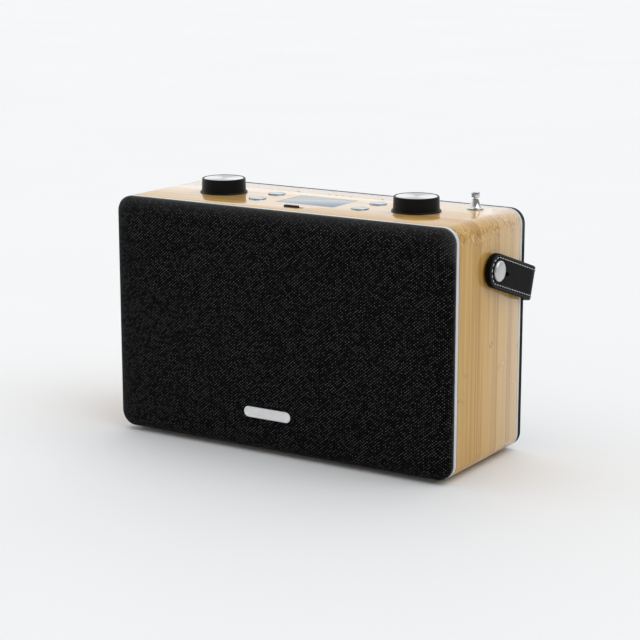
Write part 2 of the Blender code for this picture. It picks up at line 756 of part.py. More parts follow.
# ---------------------------------------------------------------- telescopic aerial
BUSH_BORE = 0.00205
BUSH_HIGH = 0.0070
BUSH_LOW = -0.0105
TUBE_LOW = BASE + 0.020 - TOP
SECTION_RADII = (0.0019, 0.0015, 0.0011)
SECTION_WALL = 0.00025
SECTION_STEP = 0.0002
TIP_RADIUS = 0.00305
TIP_LOW = 0.0084
TIP_HIGH = 0.0122
bush_profile = [
    (BUSH_BORE, BUSH_HIGH),
    (BUSH_BORE, BUSH_LOW),
    (BUSH_HOLE - GAP, BUSH_LOW),
    (BUSH_HOLE - GAP, GAP),
    (0.0060, GAP),
    (0.0060, 0.0006),
    (0.0046, 0.0012),
    (0.0037, 0.0026),
    (0.0031, 0.0042),
    (0.0026, 0.0058),
    (0.00235, BUSH_HIGH),
]
spot = top_spot(AERIAL_X, AERIAL_Y)
show("aerial_bush", turned_mesh(bush_profile, steps=16, closed=True), chrome, spot)
tube_profile = [
    (0, TUBE_LOW),
    (BUSH_BORE + 0.00045, TUBE_LOW),
    (BUSH_BORE + 0.00045, BUSH_LOW - GAP),
    (BUSH_BORE, BUSH_LOW - GAP),
    (BUSH_BORE, TUBE_LOW + 0.001),
    (0, TUBE_LOW + 0.001),
]
show("aerial_tube", turned_mesh(tube_profile, steps=12), steel, spot)
for number, radius in enumerate(SECTION_RADII[:-1]):
    low = TUBE_LOW + 0.0015 + number * SECTION_STEP
    high = BUSH_HIGH + (number + 1) * SECTION_STEP
    section_profile = [
        (radius, low),
        (radius, high),
        (radius - SECTION_WALL, high),
        (radius - SECTION_WALL, low),
    ]
    show(f"aerial_section_{number + 1}", turned_mesh(section_profile, steps=12, closed=True), chrome, spot)
rod = SECTION_RADII[-1]
tip_profile = [
    (0, TUBE_LOW + 0.0020),
    (rod, TUBE_LOW + 0.0020),
    (rod, TIP_LOW),
    (TIP_RADIUS, TIP_LOW),
    (TIP_RADIUS, TIP_HIGH - 0.0003),
    (TIP_RADIUS - 0.0003, TIP_HIGH),
    (0, TIP_HIGH),
]
show("aerial_section_3", turned_mesh(tip_profile, steps=12), chrome, spot)

# ---------------------------------------------------------------- leather strap and its studs
STRAP_INSIDE = SIDE + WASHER + 2 * GAP
STRAP_OUTSIDE = STRAP_INSIDE + STRAP_THICKNESS
STRAP_HOLE = 0.0032
SLIT_REACH = 0.0175
SLIT_WIDTH = 0.0026
STUD_NECK = 0.0029


def strap_outline(face, reach, bend, steps=6):
    """Half of the strap's path, from its end past a stud to the middle of the back."""
    points = [(face, -STRAP_WIDTH / 2), (face, reach - bend)]
    for step in range(1, steps + 1):
        angle = math.radians(90 * step / steps)
        across = face - bend + bend * math.cos(angle)
        points.append((across, reach - bend + bend * math.sin(angle)))
    return points


outside = strap_outline(STRAP_OUTSIDE, STRAP_REACH, STRAP_BEND)
inside = strap_outline(STRAP_INSIDE, STRAP_REACH - STRAP_THICKNESS, STRAP_BEND - STRAP_THICKNESS)
right_half = outside[::-1] + inside
left_half = [(-across, along) for across, along in right_half[::-1]]
strap_mesh = bmesh.new()
corners = [
    strap_mesh.verts.new((across, along, -STRAP_WIDTH / 2)) for across, along in right_half + left_half
]
extrude(strap_mesh, [strap_mesh.faces.new(corners)], (0, 0, STRAP_WIDTH))
ends = [
    edge
    for edge in strap_mesh.edges
    if all(abs(vert.co.y + STRAP_WIDTH / 2) < 1e-6 for vert in edge.verts)
    and abs(edge.verts[0].co.x - edge.verts[1].co.x) > 0.001
]
bmesh.ops.bevel(
    strap_mesh,
    geom=ends,
    offset=STRAP_WIDTH / 2 - 0.0002,
    segments=8,
    profile=0.5,
    affect="EDGES",
    material=-1,
)
bmesh.ops.rotate(
    strap_mesh,
    verts=strap_mesh.verts[:],
    cent=(0, 0, 0),
    matrix=Matrix.Rotation(STRAP_ANGLE, 3, "X"),
)
strap = show("strap", strap_mesh, leather, PIVOT)
pin_hole = rod_mesh(STRAP_HOLE, -SIDE - 0.02, SIDE + 0.02, "X")
combine(strap, cutter(pin_hole, PIVOT))
slit = box_mesh((-SIDE - 0.02, 0, -SLIT_WIDTH / 2), (SIDE + 0.02, SLIT_REACH, SLIT_WIDTH / 2))
bmesh.ops.rotate(
    slit, verts=slit.verts[:], cent=(0, 0, 0), matrix=Matrix.Rotation(STRAP_ANGLE, 3, "X")
)
combine(strap, cutter(slit, PIVOT))

head_low = STRAP_OUTSIDE - SIDE + GAP
head_high = head_low + STUD_HEAD
stud_profile = [
    (0, -STUD_DEPTH + 0.0005),
    (STUD_SHANK, -STUD_DEPTH + 0.0005),
    (STUD_SHANK, GAP),
    (STUD_NECK, GAP),
    (STUD_NECK, head_low),
    (STUD_RADIUS, head_low),
    (STUD_RADIUS, head_high - 0.0008),
    (STUD_RADIUS - 0.0006, head_high),
    (0, head_high),
]
washer_profile = [
    (STRAP_HOLE, GAP),
    (0.0065, GAP),
    (0.0065, GAP + WASHER),
    (STRAP_HOLE, GAP + WASHER),
]
for name, side in SIDES.items():
    axis = "X" if side > 0 else "-X"
    spot = PIVOT + Vector((side * SIDE, 0, 0))
    show(f"strap_stud_{name}", turned_mesh(stud_profile, axis, 20), spun_aluminium, spot)
    washer = turned_mesh(washer_profile, axis, 16, closed=True)
    show(f"strap_washer_{name}", washer, black_plastic, spot)

# ---------------------------------------------------------------- feet
FOOT_RADIUS = 0.0065
FOOT_X = 0.1115
FOOT_ROWS = {"front": 0.0085, "rear": 0.0815}
foot_profile = [
    (0, 0),
    (FOOT_RADIUS - 0.0006, 0),
    (FOOT_RADIUS, 0.0006),
    (FOOT_RADIUS, FOOT_HEIGHT - GAP),
    (0, FOOT_HEIGHT - GAP),
]
for row_name, row in FOOT_ROWS.items():
    for name, side in SIDES.items():
        spot = (side * FOOT_X, WOOD_FRONT + row, 0)
        show(f"foot_{row_name}_{name}", turned_mesh(foot_profile, steps=16), rubber, spot)
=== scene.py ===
"""A portable radio: bent-bamboo case, woven black front and back, knobs, aerial and carrying strap.

The pieces are made in the order in which the radio goes together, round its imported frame.
"""

import json
import math

import bmesh
import bpy
from mathutils import Matrix, Vector

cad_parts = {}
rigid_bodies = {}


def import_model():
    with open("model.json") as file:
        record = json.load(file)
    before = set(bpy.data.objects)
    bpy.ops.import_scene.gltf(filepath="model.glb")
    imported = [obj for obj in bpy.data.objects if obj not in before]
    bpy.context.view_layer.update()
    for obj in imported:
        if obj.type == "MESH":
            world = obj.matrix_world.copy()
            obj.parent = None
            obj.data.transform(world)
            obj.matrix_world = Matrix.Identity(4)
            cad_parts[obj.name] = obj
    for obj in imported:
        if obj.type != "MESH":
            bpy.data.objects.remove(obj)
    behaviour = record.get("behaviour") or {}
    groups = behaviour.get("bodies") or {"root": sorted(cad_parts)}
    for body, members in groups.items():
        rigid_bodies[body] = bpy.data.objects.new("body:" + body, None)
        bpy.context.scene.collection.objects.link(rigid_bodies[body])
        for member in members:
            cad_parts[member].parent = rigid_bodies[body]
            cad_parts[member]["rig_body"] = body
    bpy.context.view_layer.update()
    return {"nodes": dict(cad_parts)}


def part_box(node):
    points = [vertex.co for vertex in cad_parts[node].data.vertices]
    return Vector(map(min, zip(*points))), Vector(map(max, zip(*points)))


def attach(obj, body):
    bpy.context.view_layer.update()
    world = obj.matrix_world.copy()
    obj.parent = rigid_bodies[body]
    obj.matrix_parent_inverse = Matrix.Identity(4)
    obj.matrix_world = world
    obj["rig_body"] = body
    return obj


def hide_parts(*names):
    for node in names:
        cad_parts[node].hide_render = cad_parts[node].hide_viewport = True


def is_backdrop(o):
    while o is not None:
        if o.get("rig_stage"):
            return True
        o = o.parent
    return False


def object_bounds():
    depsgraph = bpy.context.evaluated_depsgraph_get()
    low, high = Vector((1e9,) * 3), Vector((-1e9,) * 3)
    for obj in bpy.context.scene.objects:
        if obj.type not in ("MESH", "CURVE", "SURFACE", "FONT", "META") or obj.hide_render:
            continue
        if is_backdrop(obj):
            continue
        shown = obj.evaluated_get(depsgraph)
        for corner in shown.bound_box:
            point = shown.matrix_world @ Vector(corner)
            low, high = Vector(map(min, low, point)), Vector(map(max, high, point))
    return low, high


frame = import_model()

# ---------------------------------------------------------------- bent bamboo case
# One loop of laminated bamboo, bent round four corners and butt-joined under the base. Strips
# about 7 mm wide run round it, and the whole is lacquered. The controls drop through its top.
wood_low, wood_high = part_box("cabinet_sleeve")
case_middle = (wood_low + wood_high) / 2
case_half = (wood_high - wood_low) / 2
CASE_RADIUS = 0.011
WOOD_WALL = 0.009
STRIP_WIDTH = 0.0072
BEND_FIGURE = 0.1440
LOW_FIGURE = 0.232


class Wire:
    """A shader socket that takes part in sums like a number."""

    def __init__(self, tree, socket):
        self.tree = tree
        self.socket = socket

    def node(self, kind, sockets, output=0, stops=(), **settings):
        """Adds a node, sets it up, joins its sockets and gives back one output."""
        made = self.tree.nodes.new("ShaderNode" + kind)
        for name, value in settings.items():
            setattr(made, name, value)
        for stop, (where, colour) in enumerate(stops):
            elements = made.color_ramp.elements
            element = elements[stop] if stop < 2 else elements.new(where)
            element.position = where
            element.color = (*colour, 1)
        for key, value in sockets.items():
            if isinstance(value, Wire):
                self.tree.links.new(value.socket, made.inputs[key])
            else:
                made.inputs[key].default_value = value
        return Wire(self.tree, made.outputs[output])

    def math(self, operation, *others):
        """This value put through a sum, with the others that the sum takes."""
        return self.node("Math", dict(enumerate((self, *others))), operation=operation)

    def __add__(self, other):
        return self.math("ADD", other)

    def __mul__(self, other):
        return self.math("MULTIPLY", other)

    def __sub__(self, other):
        return self.math("SUBTRACT", other)

    def __rsub__(self, other):
        return self.node("Math", {0: other, 1: self}, operation="SUBTRACT")

    def __truediv__(self, other):
        return self.math("DIVIDE", other)

    __radd__ = __add__
    __rmul__ = __mul__

    def size(self):
        return self.math("ABSOLUTE")

    def axes(self):
        return [self.node("SeparateXYZ", {0: self}, axis) for axis in range(3)]

    def spot(self, x, y, z):
        return self.node("CombineXYZ", {0: x, 1: y, 2: z})

    def rise(self, low, high, start=0.0, end=1.0):
        """From start at low to end at high, easing at both."""
        sockets = {0: self, 1: low, 2: high, 3: start, 4: end}
        return self.node("MapRange", sockets, interpolation_type="SMOOTHSTEP")

    def noise(self, scale, detail=3.0, warp=0.0):
        sockets = {"Vector": self, "Scale": scale, "Detail": detail, "Distortion": warp}
        return self.node("TexNoise", sockets)

    def chance(self):
        """A random number from 0 to 1 for each value."""
        return self.node("TexWhiteNoise", {"W": self}, noise_dimensions="1D")

    def tint(self, first, second):
        """The colour between two, where this value goes from 0 to 1."""
        first, second = [c if isinstance(c, Wire) else (*c, 1) for c in (first, second)]
        return self.node("Mix", {0: self, 6: first, 7: second}, 2, data_type="RGBA")

    def feeds(self, name):
        shader = self.tree.nodes["Principled BSDF"]
        self.tree.links.new(self.socket, shader.inputs[name])

    def relief(self, depth):
        """Raises the surface by this height times depth, in metres."""
        sockets = {"Strength": 1.0, "Distance": depth, "Height": self}
        self.node("Bump", sockets).feeds("Normal")


def finish(name, **fixed):
    """A new material with these shader values, and the wire of the place on the piece."""
    material = bpy.data.materials.new(name)
    material.use_nodes = True
    tree = material.node_tree
    shader = tree.nodes["Principled BSDF"]
    for socket, value in fixed.items():
        shader.inputs[socket.replace("_", " ")].default_value = value
    place = Wire(tree, tree.nodes.new("ShaderNodeTexCoord").outputs["Object"])
    return material, place


def mesh_piece(name, bm, material):
    bmesh.ops.remove_doubles(bm, verts=bm.verts[:], dist=1e-6)
    bmesh.ops.recalc_face_normals(bm, faces=bm.faces[:])
    mesh = bpy.data.meshes.new(name)
    bm.to_mesh(mesh)
    bm.free()
    mesh.materials.append(material)
    mesh.shade_smooth()
    mesh.set_sharp_from_angle(angle=math.radians(32))
    piece = bpy.data.objects.new(name, mesh)
    bpy.context.scene.collection.objects.link(piece)
    return piece


def join_frame(piece, node, stands_for=True):
    """Fixes the piece to the body of this node, and may stand for it."""
    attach(piece, frame["nodes"][node]["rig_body"])
    if stands_for:
        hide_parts(node)
    return piece


def outline_block(inset, front, back, segments=12):
    """A solid of the case's rounded outline, drawn in by inset, from front to back."""
    bm = bmesh.new()
    size = (2 * (case_half.x - inset), back - front, 2 * (case_half.z - inset), 1)
    centre = (case_middle.x, (front + back) / 2, case_middle.z)
    bmesh.ops.create_cube(bm, size=1, matrix=Matrix.Translation(centre) @ Matrix.Diagonal(size))
    along = [e for e in bm.edges if abs(e.verts[0].co.y - e.verts[1].co.y) > 1e-6]
    radius = max(CASE_RADIUS - inset, 0.003)
    bmesh.ops.bevel(
        bm,
        geom=along,
        offset=radius,
        segments=segments,
        profile=0.5,
        affect="EDGES",
        material=-1,
    )
    return bm


def soften(bm, offset, segments=2, angle=50):
    """Rounds every edge that is sharper than the angle."""
    limit = math.radians(angle)
    sharp = [e for e in bm.edges if e.is_manifold and e.calc_face_angle() > limit]
    bmesh.ops.bevel(
        bm,
        geom=sharp,
        offset=offset,
        segments=segments,
        profile=0.5,
        affect="EDGES",
        material=-1,
        clamp_overlap=True,
    )


def hoop(front, back, wall, edge, inset=0.0):
    """A band that follows the case's outline, with rounded rims."""
    bm = outline_block(inset, front, back)
    ends = [f for f in bm.faces if abs(f.normal.y) > 0.9]
    bmesh.ops.delete(bm, geom=ends, context="FACES")
    bmesh.ops.solidify(bm, geom=bm.faces[:], thickness=wall)
    bmesh.ops.recalc_face_normals(bm, faces=bm.faces[:])
    soften(bm, edge)
    return bm


def carve(piece, tools):
    """Cuts a mesh of closed tools out of a piece."""
    mesh = bpy.data.meshes.new("tools")
    bmesh.ops.recalc_face_normals(tools, faces=tools.faces[:])
    tools.to_mesh(mesh)
    tools.free()
    tool = bpy.data.objects.new("tools", mesh)
    bpy.context.scene.collection.objects.link(tool)
    cut = piece.modifiers.new("cut", "BOOLEAN")
    cut.operation = "DIFFERENCE"
    cut.solver = "EXACT"
    cut.object = tool
    graph = bpy.context.evaluated_depsgraph_get()
    old = piece.data
    piece.data = bpy.data.meshes.new_from_object(piece.evaluated_get(graph))
    piece.modifiers.clear()
    bpy.data.objects.remove(tool)
    bpy.data.meshes.remove(old)
    piece.data.name = piece.name
    piece.data.shade_smooth()
    piece.data.set_sharp_from_angle(angle=math.radians(32))


def weigh(piece):
    """Shades the broad flat faces flat beside their rounded edges."""
    piece.modifiers.new("shade", "WEIGHTED_NORMAL").keep_sharp = True


def add_block(bm, low, high):
    size = Vector(high) - Vector(low)
    place = Matrix.Translation((Vector(high) + Vector(low)) / 2) @ Matrix.Diagonal((*size, 1))
    return bmesh.ops.create_cube(bm, size=1, matrix=place)["verts"]


def add_rod(bm, radius, low, high, centre, segments=40):
    place = Matrix.Translation(Vector(centre) + Vector((0, 0, (low + high) / 2)))
    return bmesh.ops.create_cone(
        bm,
        cap_ends=True,
        segments=segments,
        radius1=radius,
        radius2=radius,
        depth=high - low,
        matrix=place,
    )["verts"]


def axis_spot(node):
    """The middle of a node in X and Y, at the height of the case's top."""
    low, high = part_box(node)
    return Vector(((low.x + high.x) / 2, (low.y + high.y) / 2, wood_high.z))


CLEAR = 0.0004
DRILL = 0.003
BUTTON_RADIUS = 0.0063
SLIDER_TRAVEL = 0.004
BUSH_HOLE = 0.0036
KNOB_HOLE = 0.0045
openings = bmesh.new()
drill_low = -WOOD_WALL - DRILL
for side in ("left", "right"):
    for row in ("front", "rear"):
        spot = axis_spot(f"button_{row}_{side}")
        add_rod(openings, BUTTON_RADIUS + CLEAR, drill_low, DRILL, spot)
low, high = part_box("display_window")
add_block(
    openings,
    (low.x - CLEAR / 2, low.y - CLEAR / 2, wood_high.z + drill_low),
    (high.x + CLEAR / 2, high.y + CLEAR / 2, wood_high.z + DRILL),
)
slider_low, slider_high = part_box("power_slider")
add_block(
    openings,
    (slider_low.x - CLEAR, slider_low.y - CLEAR, wood_high.z + drill_low),
    (slider_high.x + SLIDER_TRAVEL + CLEAR, slider_high.y + CLEAR, wood_high.z + DRILL),
)
aerial_spot = axis_spot("aerial_bush")
add_rod(openings, BUSH_HOLE, drill_low, DRILL, aerial_spot)
for side in ("left", "right"):
    add_rod(openings, KNOB_HOLE, drill_low, DRILL, axis_spot(f"knob_{side}"))

bamboo, place = finish(
    "bamboo",
    Roughness=0.40,
    Coat_Weight=1.0,
    Coat_Roughness=0.09,
    Coat_IOR=1.36,
    Specular_IOR_Level=0.12,
)
grain = place.node("UVMap", {}, uv_map="grain")
round_u, across_v, _ = grain.axes()
lane = across_v / STRIP_WIDTH + grain.noise(6.0, 1.0) * 0.25
strip = lane.math("FLOOR")
tone = strip.chance()
second_tone = (strip + 31.7).chance()
in_strip = (lane - strip - 0.5).size()
seam = in_strip.rise(0.455, 0.5)
bend_gap = (round_u.size() - BEND_FIGURE + (tone - 0.5) * 0.010).size()
low_gap = (round_u.size() - LOW_FIGURE + (second_tone - 0.5) * 0.060).size()
bend_knot = bend_gap.rise(0.0025, 0.0095, 1.0, 0.0)
low_knot = low_gap.rise(0.0008, 0.0040, 1.0, 0.0) * tone.rise(0.45, 0.5)
knot = bend_knot.math("MAXIMUM", low_knot)
swirl = place.spot(round_u * 110.0, across_v * 240.0, tone).noise(1.0, 4.0, 3.2)
drift = (swirl - 0.5) * knot * 0.0022
fibre_v = across_v + drift
fine = place.spot(round_u * 9.0, fibre_v * 1500.0, tone * 9.0).noise(1.0, 4.0)
broad = place.spot(round_u * 3.0, fibre_v * 330.0, tone * 5.0).noise(1.0, 3.0)
patch = place.spot(round_u * 9.0, fibre_v * 60.0, 3.0).noise(1.0, 2.0)
dash = place.spot(round_u * 75.0, fibre_v * 1500.0, 7.0).noise(1.0, 2.0)
light = broad.rise(0.38, 0.62).tint((0.440, 0.230, 0.052), (0.585, 0.352, 0.102))
toned = (tone * 0.50 + patch * 0.50).rise(0.15, 0.85).tint(light, (0.610, 0.388, 0.128))
streaked = (fine.rise(0.54, 0.78) * 0.60).tint(toned, (0.350, 0.165, 0.045))
flecked = (dash.rise(0.66, 0.76) * 0.22).tint(streaked, (0.260, 0.115, 0.032))
swirled = (knot * swirl.rise(0.50, 0.62) * 0.85).tint(flecked, (0.330, 0.155, 0.042))
paled = (knot * swirl.rise(0.47, 0.36) * 0.65).tint(swirled, (0.720, 0.520, 0.250))
(seam * 0.34).tint(paled, (0.310, 0.155, 0.050)).feeds("Base Color")
(0.30 + fine * 0.14).feeds("Roughness")
(fine * 0.6 + broad * 0.4 - seam * 0.8 - knot * swirl * 0.7).relief(0.00002)


def run_round(x, z):
    """How far a point is round the case's outline from the middle of its top, one way."""
    straight = case_half.x - CASE_RADIUS
    side = case_half.z - CASE_RADIUS
    quarter = CASE_RADIUS * math.pi / 2
    over = abs(x) - straight
    up = abs(z) - side
    turn = math.atan2(max(over, 0.0), max(up, 1e-9)) if z > 0 else 0.0
    if over <= 0:
        return abs(x) if z > 0 else 2 * straight + 2 * side + 2 * quarter - abs(x)
    if up <= 0:
        return straight + quarter + side - z
    if z > 0:
        return straight + CASE_RADIUS * turn
    return straight + quarter + 2 * side + CASE_RADIUS * math.atan2(up, max(over, 1e-9))


sleeve_mesh = hoop(wood_low.y, wood_high.y, WOOD_WALL, 0.0004)
bmesh.ops.bisect_plane(
    sleeve_mesh,
    geom=sleeve_mesh.verts[:] + sleeve_mesh.edges[:] + sleeve_mesh.faces[:],
    plane_co=(case_middle.x, 0, 0),
    plane_no=(1, 0, 0),
)
sleeve = mesh_piece("bamboo_sleeve", sleeve_mesh, bamboo)
carve(sleeve, openings)
grain_map = sleeve.data.uv_layers.new(name="grain")
for face in sleeve.data.polygons:
    way = 1 if face.center.x > case_middle.x else -1
    for corner in face.loop_indices:
        point = sleeve.data.vertices[sleeve.data.loops[corner].vertex_index].co - case_middle
        grain_map.data[corner].uv = (way * run_round(point.x, point.z), point.y)
join_frame(sleeve, "cabinet_sleeve")

# ---------------------------------------------------------------- white trim rings
# Two moulded rings of satin white plastic, one at each end of the bamboo, a little rounded at
# the rim. They are screwed to the case from inside and carry the front and the rear cover.
TRIM_WALL = 0.0100
TRIM_EDGE = 0.0006
trim_white, place = finish(
    "trim_white", Roughness=0.38, Specular_IOR_Level=0.4, Coat_Weight=0.15, Coat_Roughness=0.25
)
mottle = place.noise(90.0, 4.0)
mottle.tint((0.560, 0.560, 0.560), (0.660, 0.660, 0.660)).feeds("Base Color")
(0.34 + mottle * 0.10).feeds("Roughness")
place.noise(2600.0, 2.0).relief(0.00002)
for node in ("front_trim", "rear_trim"):
    low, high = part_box(node)
    ring = mesh_piece(node + "_ring", hoop(low.y, high.y, TRIM_WALL, TRIM_EDGE), trim_white)
    join_frame(ring, node)

# ---------------------------------------------------------------- woven front
# Black acoustic cloth in a coarse plain weave, stretched over a moulded frame with broad
# rolled edges and glued behind it. It covers the whole front up to the white trim.
WARP_PITCH = 0.00137
WEFT_PITCH = 0.00111
CLOTH_WALL = 0.0008
GRILLE_ROLL = 0.0140
GRILLE_DROP = 0.0070
RIM_GAP = 0.0002
ROLL_STEPS = 10
FLAT_RING = 0.0030


def woven(name, shade, face, drop):
    """Black plain weave that follows the cloth's own flat place, with a painted highlight on the
    crown of each weft yarn. Painted light makes it paler where it rolls back from the face along
    the top."""
    cloth, place = finish(
        name, Roughness=0.80, Sheen_Weight=0.12, Sheen_Roughness=0.30, Specular_IOR_Level=0.03
    )
    cut = place.node("Attribute", {}, 1, attribute_name="cut")
    x, _, z = cut.axes()
    wander = cut.noise(300.0, 2.0) * 0.36
    warp, weft = x / WARP_PITCH + wander, z / WEFT_PITCH + wander
    column, row = warp.math("FLOOR"), weft.math("FLOOR")
    over = (column + row).math("FLOORED_MODULO", 2.0)
    across, along = warp - column - 0.5, weft - row - 0.5
    hump_x, hump_z = (across * math.pi).math("COSINE"), (along * math.pi).math("COSINE")
    on_warp = hump_x * (hump_z * 0.45 + 0.55)
    on_weft = hump_z * (hump_x * 0.45 + 0.55)
    height = on_warp * over + on_weft * (1 - over)
    dot = (across * across + along * along - across * along * 0.4).rise(0.02, 0.24, 1.0, 0.0)
    knot = place.spot(column, row, 0.0)
    fleck = knot.node("TexWhiteNoise", {"Vector": knot}, noise_dimensions="3D")
    slub = place.spot(column * 0.05, row * 0.9, 0.0).noise(1.0, 2.0)
    # Painted highlight: a pale spot on the crown of each weft yarn, where it catches the light;
    # fleck and slub give its tone at random.
    crown_highlight = dot * ((1 - over) * 0.94 + 0.06)
    bright = crown_highlight * (fleck.rise(0.1, 1.0) * 0.85 + 0.15) * (slub * 1.1 + 0.25)
    _, depth, _ = place.axes()
    # Painted light: the cloth's dark colour grows paler on the roll along the top, where light from
    # above falls.
    painted_roll_light = (depth - face).size() / drop * z.rise(0.060, 0.080)
    ground_with_roll_light = painted_roll_light.tint((0.0003, 0.0003, 0.0003), (0.036, 0.036, 0.036))
    bright.tint(ground_with_roll_light, shade).feeds("Base Color")
    (height + cut.noise(5200.0, 2.0) * 0.25).relief(0.00014)
    return cloth


def rolled_cloth(rim, face, roll, drop):
    """Cloth from a rim, round a quarter ellipse, to a flat face, with each point's flat place."""
    way = math.copysign(1.0, face - rim)
    bm = outline_block(0.0, rim, rim + 0.001)
    spare = [v for v in bm.verts if v.co.y > rim + 0.0005]
    bmesh.ops.delete(bm, geom=spare, context="VERTS")
    bmesh.ops.delete(bm, geom=bm.faces[:], context="FACES_ONLY")
    cut = bm.verts.layers.float_vector.new("cut")
    rings = [(RIM_GAP, rim)]
    for step in range(ROLL_STEPS + 1):
        angle = math.pi / 2 * step / ROLL_STEPS
        inset = RIM_GAP + roll * (1 - math.cos(angle))
        rings.append((inset, face - way * drop * (1 - math.sin(angle))))
    rings.append((rings[-1][0] + FLAT_RING, face))
    flats = [rings[-1][0]]
    for outer, inner in zip(rings[-2::-1], rings[:0:-1]):
        flats.append(flats[-1] - math.hypot(outer[0] - inner[0], outer[1] - inner[1]))
    flats.reverse()
    verts, edges, old = bm.verts[:], bm.edges[:], 0.0
    centre = Matrix.Translation((-case_middle.x, 0, -case_middle.z))
    for number, ((inset, depth), flat) in enumerate(zip(rings, flats)):
        if number:
            made = bmesh.ops.extrude_edge_only(bm, edges=edges)["geom"]
            verts = [g for g in made if isinstance(g, bmesh.types.BMVert)]
            fresh = set(verts)
            edges = [e for e in bm.edges if fresh.issuperset(e.verts)]
        scale = [(half - inset) / (half - old) for half in (case_half.x, case_half.z)]
        bmesh.ops.scale(bm, vec=(scale[0], 1, scale[1]), space=centre, verts=verts)
        old = inset
        spread = [(half - flat) / (half - inset) for half in (case_half.x, case_half.z)]
        for vert in verts:
            vert.co.y = depth
            place = vert.co - case_middle
            vert[cut] = (place.x * spread[0], 0, place.z * spread[1])
    bmesh.ops.contextual_create(bm, geom=edges)
    return bm


cloth_low, cloth_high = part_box("grille_cloth")
front_weave = woven("black_weave", (0.105, 0.105, 0.105), cloth_low.y, GRILLE_DROP)
grille_mesh = rolled_cloth(cloth_high.y, cloth_low.y, GRILLE_ROLL, GRILLE_DROP)
grille = mesh_piece("woven_front", grille_mesh, front_weave)
hem = grille.modifiers.new("hem", "SOLIDIFY")
hem.thickness = CLOTH_WALL
hem.offset = -1.0
join_frame(grille, "grille_cloth")

# ---------------------------------------------------------------- badge
# A plain plate of brushed metal with a raised rim, pinned through the cloth near the foot of
# the front. It bears no lettering.
badge_low, badge_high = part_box("badge")
badge_half = (badge_high - badge_low) / 2
BADGE_EDGE = 0.00025
BADGE_RIM = 0.0008
BADGE_STEP = 0.0002
BADGE_SINK = 0.0003


def metal(name, colour, roughness, grooves, wear=0.06, shade=0.82, sector_light=None):
    """Bright metal with fine marks. Grooves give, from the place, the height of the marks and how
    bright the metal is; sectors, where given, paint in highlights and shade of reflected light
    instead."""
    material, place = finish(name, Metallic=1.0, Specular_IOR_Level=0.5)
    marks = grooves(place)
    clouds = place.noise(160.0, 4.0)
    dark = tuple(value * shade for value in colour)
    # Sectors, where given, paint highlights and shade of reflected light into the colour.
    bright = (clouds * 0.5 + marks * 0.5).rise(0.2, 0.8) if sector_light is None else sector_light(place)
    bright.tint(dark, colour).feeds("Base Color")
    (clouds * wear * 2 + marks * wear + (roughness - 1.5 * wear)).feeds("Roughness")
    marks.relief(0.00002)
    return material


def brushed_along_x(place):
    x, y, z = place.axes()
    return place.spot(x * 60.0, y * 2600.0, z * 2600.0).noise(1.0, 3.0)


badge_silver = metal("badge_silver", (0.86, 0.86, 0.87), 0.34, brushed_along_x)
plate = bmesh.new()
add_block(plate, badge_low, badge_high)
ends = [e for e in plate.edges if abs(e.verts[0].co.y - e.verts[1].co.y) > 1e-6]
bmesh.ops.bevel(
    plate,
    geom=ends,
    offset=badge_half.z - 0.0001,
    segments=10,
    profile=0.5,
    affect="EDGES",
    material=-1,
)
soften(plate, BADGE_EDGE)
front_face = [f for f in plate.faces if f.normal.y < -0.99]
bmesh.ops.inset_region(plate, faces=front_face, thickness=BADGE_RIM, depth=0.0)
front_face = [max((f for f in plate.faces if f.normal.y < -0.99), key=lambda f: f.calc_area())]
bmesh.ops.inset_region(plate, faces=front_face, thickness=BADGE_STEP, depth=-BADGE_SINK)
join_frame(mesh_piece("badge_plate", plate, badge_silver), "badge")

# ---------------------------------------------------------------- baffle, speakers and boards
# Inside the case: a moulded frame and baffle, two full-range speakers on pressed baskets, the
# control board under the top and the main board on the base. Screws hold them all.


def moulded(name, colour, pale, roughness, size=900.0, coat=0.0):
    """Moulded plastic or rubber with a fine eroded texture."""
    material, place = finish(name, Specular_IOR_Level=0.3, Coat_Weight=coat, Coat_Roughness=0.2)
    texture = place.noise(size, 3.0)
    clouds = place.noise(45.0, 3.0)
    (texture * 0.6 + clouds * 0.4).rise(0.3, 0.7).tint(colour, pale).feeds("Base Color")
    (texture * 0.12 + clouds * 0.08 + (roughness - 0.1)).feeds("Roughness")
    texture.relief(0.00003)
    return material


def turned_steel(place):
    return place.noise(700.0, 4.0)


black_plastic = moulded("black_plastic", (0.006, 0.006, 0.006), (0.014, 0.014, 0.014), 0.50)
steel = metal("steel", (0.56, 0.56, 0.57), 0.34, turned_steel)
rubber = moulded("rubber", (0.010, 0.010, 0.010), (0.026, 0.026, 0.026), 0.78, 500.0)
ferrite = moulded("ferrite", (0.040, 0.040, 0.044), (0.085, 0.085, 0.090), 0.65, 1500.0)
cell_wrap = moulded("cell_wrap", (0.030, 0.100, 0.240), (0.055, 0.160, 0.330), 0.40, 300.0, 0.3)

paper, place = finish("paper", Roughness=0.85, Specular_IOR_Level=0.2)
pulp = place.noise(1200.0, 5.0)
pulp.tint((0.018, 0.018, 0.018), (0.050, 0.049, 0.047)).feeds("Base Color")
pulp.relief(0.00006)

board_green, place = finish("board_green", Roughness=0.40, Coat_Weight=0.4, Coat_Roughness=0.15)
board_x, board_y, _ = place.axes()
on_board = place.spot(board_x, board_y, 0.0)
cells = on_board.node(
    "TexVoronoi",
    {"Vector": on_board, "Scale": 260.0, "Randomness": 0.15},
    distance="CHEBYCHEV",
)
tracks = cells.rise(0.30, 0.42)
tracks.tint((0.012, 0.110, 0.045), (0.030, 0.170, 0.075)).feeds("Base Color")
tracks.relief(0.00004)


def refinish(material, *nodes):
    """Gives carried-over frame nodes their finish."""
    for node in nodes:
        kept = frame["nodes"][node]
        kept.data.materials.clear()
        kept.data.materials.append(material)


